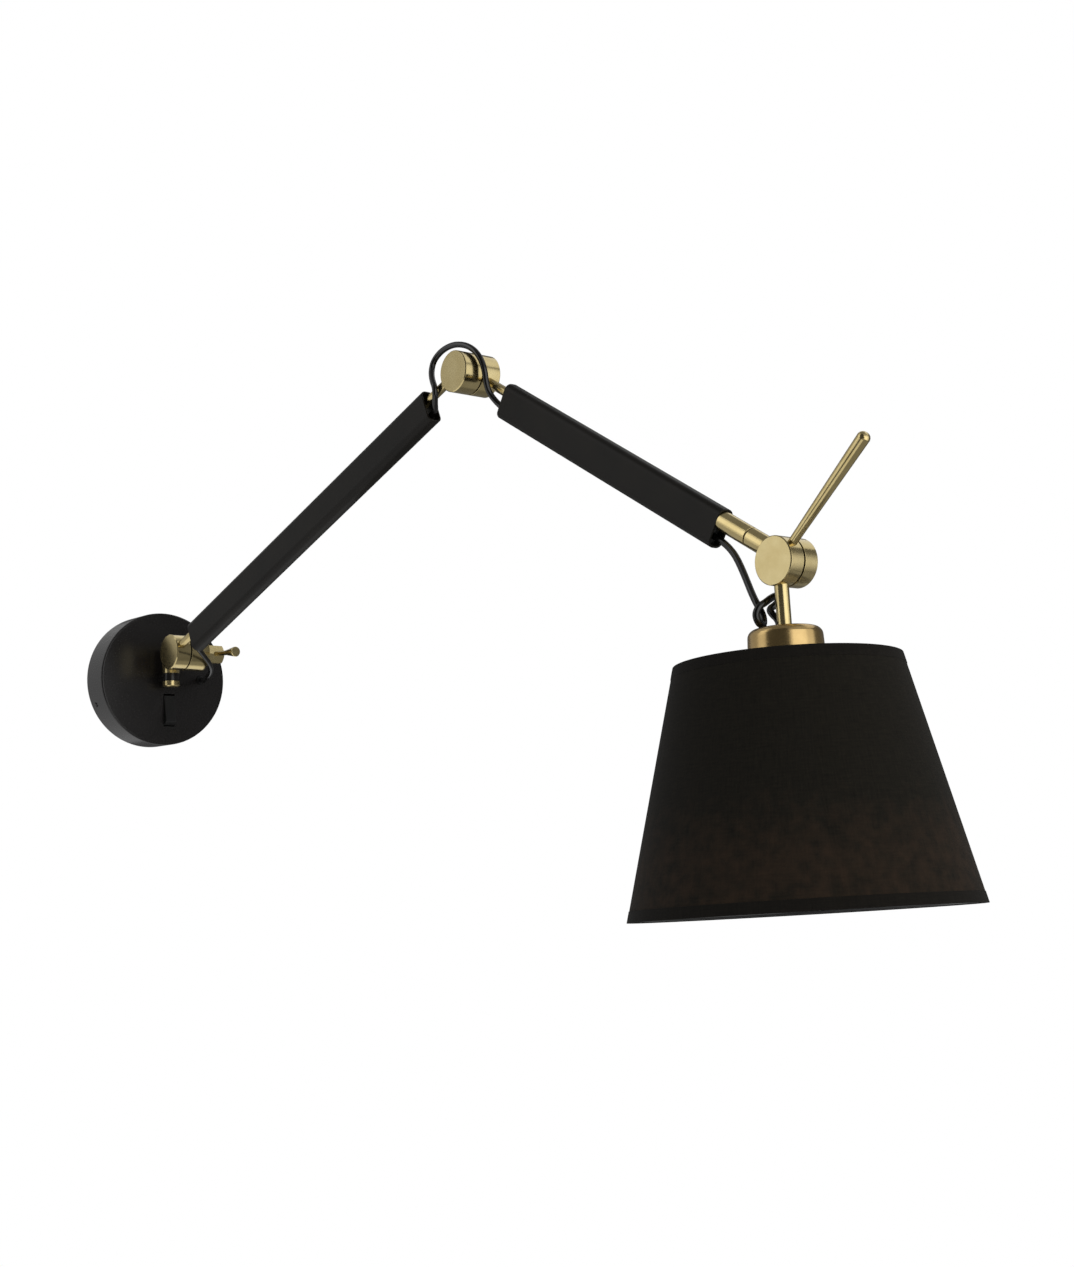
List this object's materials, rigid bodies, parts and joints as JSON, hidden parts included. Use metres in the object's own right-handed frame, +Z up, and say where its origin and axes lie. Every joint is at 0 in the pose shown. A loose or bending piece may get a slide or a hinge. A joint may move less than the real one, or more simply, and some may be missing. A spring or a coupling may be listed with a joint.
{
  "type": "articulating wall lamp",
  "caption": "Wall lamp with a round canopy, sleeved jointed arms on barrel hinges, a twisting wrist with an aiming handle, and a conical fabric shade.",
  "frame": {"origin": "centre of the canopy's back face, on the wall", "axes": "+X to the right seen from the room, +Y into the wall, +Z up; the arms reach along -Y"},
  "size_m": [0.2043, 0.855, 0.3981],
  "materials": {
    "black_metal": "semi-gloss black lacquer",
    "brass": "satin brushed",
    "aged_brass": "satin, browner",
    "steel": "zinc plated",
    "black_plastic": "satin",
    "shade_wire": "black",
    "shade_fabric": "slubbed weave",
    "cable": "glossy black"
  },
  "bodies": {
    "wall": {"wall_bracket": "steel", "canopy": "black_metal", "canopy_side_screws": "steel", "terminal_block": "black_plastic", "switch_housing": "black_plastic", "swivel_bracket": "black_metal", "bracket_nut": "steel", "cable_grommet": "black_plastic"},
    "rocker": {"switch_rocker": "black_plastic"},
    "swivel": {"swivel_pin": "steel", "swivel_nut": "brass", "swivel_washers": "black_plastic", "swivel_collar": "brass", "swivel_knuckle": "brass", "shoulder_stub": "brass", "shoulder_half_fixed": "brass", "shoulder_washer": "black_plastic", "wall_cable_lead": "cable"},
    "lock_knob": {"knob_hub": "brass", "knob_lever": "brass"},
    "lower_arm": {"shoulder_half_arm": "brass", "shoulder_stud": "steel", "lower_rod": "brass", "lower_plug_inner": "black_plastic", "lower_sleeve": "black_metal", "lower_plug_outer": "black_plastic", "elbow_half_lower": "brass", "elbow_set_screw": "steel", "elbow_axle": "steel", "lower_cable_run": "cable", "shoulder_cable_loop": "cable"},
    "upper_arm": {"elbow_half_upper": "brass", "elbow_washer": "black_plastic", "upper_rod": "brass", "upper_plug_inner": "black_plastic", "upper_sleeve": "black_metal", "upper_plug_outer": "black_plastic", "twist_socket": "brass", "upper_cable_run": "cable", "elbow_cable_loop": "cable"},
    "wrist": {"twist_collar": "brass", "wrist_half_fixed": "brass", "wrist_washer": "black_plastic", "wrist_axle": "steel", "wrist_cable_run": "cable"},
    "head": {"wrist_half_head": "brass", "stem": "brass", "aim_handle": "brass", "cup": "aged_brass", "cup_nut": "steel", "cable_gland": "black_plastic", "lampholder_body": "black_plastic", "lampholder_shell": "brass", "lampholder_contact": "brass", "shade_ring_nut": "black_plastic", "shade_carrier": "shade_wire", "shade_bottom_ring": "shade_wire", "shade_shell": "shade_fabric", "head_cable_lead": "cable"}
  },
  "joints": [
    {"name": "switch_press", "type": "hinge", "parent": "wall", "child": "rocker", "pos_m": [0.00475, -0.026, -0.0264], "axis": [1, 0, 0], "range_deg": [0, 22]},
    {"name": "pan", "type": "hinge", "parent": "wall", "child": "swivel", "pos_m": [0, -0.0445, 0], "axis": [0, 0, 1], "range_deg": [-70, 45], "deforming": ["wall_cable_lead"]},
    {"name": "shoulder", "type": "hinge", "parent": "swivel", "child": "lower_arm", "pos_m": [0, -0.071, 0.018], "axis": [-0.9969, -0.0785, 0], "range_deg": [-50, 60], "deforming": ["shoulder_cable_loop"]},
    {"name": "lock_turn", "type": "hinge", "parent": "swivel", "child": "lock_knob", "pos_m": [0, -0.071, 0.018], "axis": [-0.9969, -0.0785, 0], "range_deg": [-35, 95]},
    {"name": "elbow", "type": "hinge", "parent": "lower_arm", "child": "upper_arm", "pos_m": [0.03041, -0.45737, 0.17459], "axis": [-0.9969, -0.0785, 0], "range_deg": [-80, 50], "deforming": ["elbow_cable_loop"]},
    {"name": "twist", "type": "hinge", "parent": "upper_arm", "child": "wrist", "pos_m": [0.05686, -0.71069, 0.02461], "axis": [0.0676, -0.859, -0.5075], "range_deg": [-45, 45], "deforming": ["wrist_cable_run"]},
    {"name": "wrist_tilt", "type": "hinge", "parent": "wrist", "child": "head", "pos_m": [0.05299, -0.74427, 0.00507], "axis": [-0.9969, -0.0785, 0], "range_deg": [-45, 75], "deforming": ["head_cable_lead"]}
  ]
}
